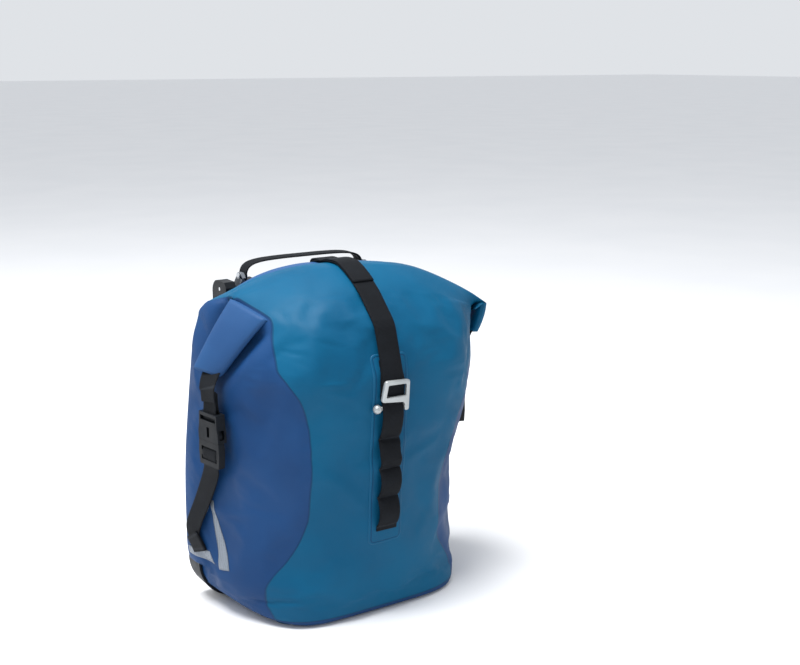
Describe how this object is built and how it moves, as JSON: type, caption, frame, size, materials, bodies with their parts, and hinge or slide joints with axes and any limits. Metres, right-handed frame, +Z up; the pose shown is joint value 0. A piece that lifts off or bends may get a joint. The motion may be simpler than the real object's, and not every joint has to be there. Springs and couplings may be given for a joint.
{
  "type": "pannier bag",
  "caption": "Waterproof roll-top bicycle pannier: boxy welded fabric bag, closure strap with metal hook and webbing loops, side buckles, rack hooks with sprung latches and carry handle.",
  "frame": {"origin": "on the underside of the flat base, midway across the bag's width and 83 mm in front of its back wall", "axes": "+Z up, +Y from the bag towards the luggage rack, +X towards the front of the bicycle; the bag's outer side with its strap faces -Y"},
  "size_m": [0.3364, 0.2326, 0.376],
  "materials": {
    "bag_fabric": "coated woven polyester, satin: front panel teal blue, side panels indigo blue",
    "roll_fabric": "the same coated fabric, rolled",
    "patch_fabric": "welded patch of the same fabric",
    "webbing": "black ribbed polyester webbing",
    "black_plastic": "fine-grained moulded nylon",
    "grey_plastic": "moulded nylon",
    "inner_plastic": "sheet plastic",
    "steel": "zinc-plated",
    "cast_aluminium": "satin, tumbled",
    "reflective_film": "silver reflective film"
  },
  "bodies": {
    "bag": {"bag_shell": "bag_fabric", "base_panel": "black_plastic", "roll_closure": "roll_fabric", "closure_strip": "inner_plastic", "back_stiffener": "inner_plastic", "upper_rail": "black_plastic", "lower_rail": "black_plastic", "upper_rail_screws": "steel", "lower_rail_screws": "steel", "upper_rail_nuts": "steel", "lower_rail_nuts": "steel", "left_hook": "black_plastic", "right_hook": "black_plastic", "latch_pins": "steel", "clamp_screws": "steel", "latch_springs": "steel", "front_patch": "patch_fabric", "daisy_chain": "webbing", "front_strap": "webbing", "front_strap_tail": "webbing", "left_edge_guard": "black_plastic", "right_edge_guard": "black_plastic", "left_buckle_socket": "black_plastic", "right_buckle_socket": "black_plastic", "left_buckle_tab": "webbing", "right_buckle_tab": "webbing", "left_side_strap": "webbing", "right_side_strap": "webbing", "left_strap_anchor": "webbing", "right_strap_anchor": "webbing", "left_reflector": "reflective_film", "right_reflector": "reflective_film"},
    "handle": {"carry_handle": "webbing", "handle_rivets": "steel"},
    "left_latch": {"left_latch": "grey_plastic"},
    "right_latch": {"right_latch": "grey_plastic"},
    "lower_slider": {"lower_slider": "black_plastic", "lower_hook_screw": "steel"},
    "lower_hook": {"lower_hook": "black_plastic"},
    "left_plug": {"left_buckle_plug": "black_plastic"},
    "right_plug": {"right_buckle_plug": "black_plastic"},
    "front_hook": {"g_hook": "cast_aluminium", "front_strap_end": "webbing"},
    "left_front_prong": {"left_front_prong": "black_plastic"},
    "left_rear_prong": {"left_rear_prong": "black_plastic"},
    "right_front_prong": {"right_front_prong": "black_plastic"},
    "right_rear_prong": {"right_rear_prong": "black_plastic"}
  },
  "joints": [
    {"name": "handle_lift", "type": "slide", "parent": "bag", "child": "handle", "axis": [0, 0, 1], "range_m": [0, 0.0035], "stiffness_N_per_m": 1200, "springref_m": -0.003},
    {"name": "left_latch_turn", "type": "hinge", "parent": "bag", "child": "left_latch", "pos_m": [-0.078, 0.105, 0.341], "axis": [1, 0, 0], "range_deg": [-20, 0]},
    {"name": "right_latch_turn", "type": "hinge", "parent": "bag", "child": "right_latch", "pos_m": [0.078, 0.105, 0.341], "axis": [1, 0, 0], "range_deg": [-20, 0]},
    {"name": "lower_slider_travel", "type": "slide", "parent": "bag", "child": "lower_slider", "axis": [1, 0, 0], "range_m": [-0.066, 0.066]},
    {"name": "lower_hook_swivel", "type": "hinge", "parent": "lower_slider", "child": "lower_hook", "pos_m": [0, 0.1003, 0.098], "axis": [0, 1, 0], "range_deg": [-180, 180]},
    {"name": "front_hook_slide", "type": "slide", "parent": "bag", "child": "front_hook", "axis": [1, 0, 0], "range_m": [0, 0.038]},
    {"name": "left_buckle_release", "type": "slide", "parent": "bag", "child": "left_plug", "axis": [0, 0, -1], "range_m": [0, 0.03], "deforming": ["left_side_strap"]},
    {"name": "left_front_prong_flex", "type": "hinge", "parent": "left_plug", "child": "left_front_prong", "pos_m": [-0.15176, 0.0016, 0.2029], "axis": [-0.9816, -0.1909, 0], "range_deg": [0, 15], "stiffness_Nm_per_rad": 0.05, "deforming": ["left_front_prong"]},
    {"name": "left_rear_prong_flex", "type": "hinge", "parent": "left_plug", "child": "left_rear_prong", "pos_m": [-0.15515, 0.01908, 0.2029], "axis": [0.9816, 0.1909, 0], "range_deg": [0, 15], "stiffness_Nm_per_rad": 0.05, "deforming": ["left_rear_prong"]},
    {"name": "right_buckle_release", "type": "slide", "parent": "bag", "child": "right_plug", "axis": [0, 0, -1], "range_m": [0, 0.03], "deforming": ["right_side_strap"]},
    {"name": "right_front_prong_flex", "type": "hinge", "parent": "right_plug", "child": "right_front_prong", "pos_m": [0.15176, 0.0016, 0.2029], "axis": [-0.9816, 0.1909, 0], "range_deg": [0, 15], "stiffness_Nm_per_rad": 0.05, "deforming": ["right_front_prong"]},
    {"name": "right_rear_prong_flex", "type": "hinge", "parent": "right_plug", "child": "right_rear_prong", "pos_m": [0.15515, 0.01908, 0.2029], "axis": [0.9816, -0.1909, 0], "range_deg": [0, 15], "stiffness_Nm_per_rad": 0.05, "deforming": ["right_rear_prong"]}
  ],
  "couplings": [
    {"joint": "left_latch_turn", "follows": "handle_lift", "rad_per_m": -99.7},
    {"joint": "right_latch_turn", "follows": "handle_lift", "rad_per_m": -99.7}
  ]
}
